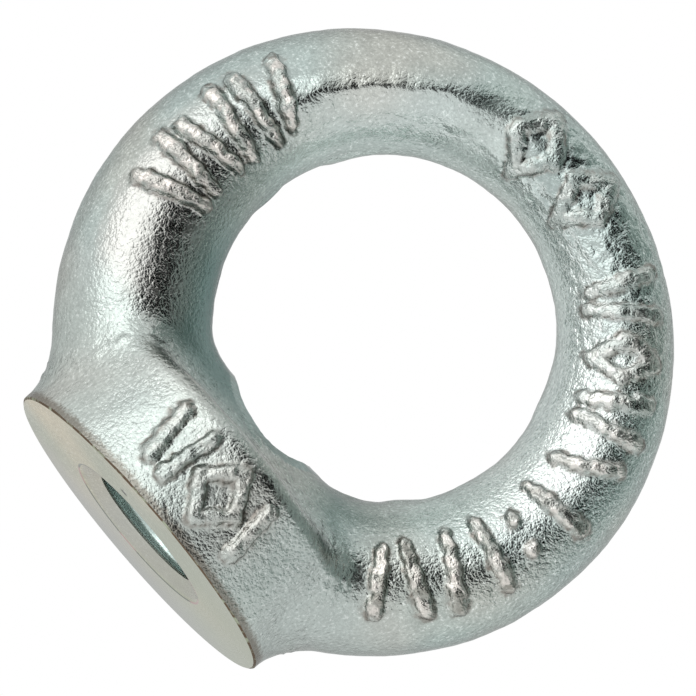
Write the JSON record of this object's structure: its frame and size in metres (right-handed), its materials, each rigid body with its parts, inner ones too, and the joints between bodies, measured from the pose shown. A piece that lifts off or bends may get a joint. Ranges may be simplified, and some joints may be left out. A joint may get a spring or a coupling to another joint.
{
  "type": "lifting eye nut",
  "caption": "Drop-forged lifting eye nut: a stout ring on a short round boss, tapped through from its flat seating face to the eye, in pale zinc-plated steel.",
  "frame": {"origin": "centre of the flat seating face, on the thread axis", "axes": "+Z along the thread axis from the seating face up to the crown of the ring; the ring stands in the XZ plane and the eye opens along Y"},
  "size_m": [0.045, 0.0252, 0.0434],
  "materials": {
    "zinc_plated_steel": "shot-blasted forging under thin bright zinc plating, smooth turned seating face"
  },
  "bodies": {
    "root": {"eye_nut": "zinc_plated_steel"}
  },
  "joints": []
}
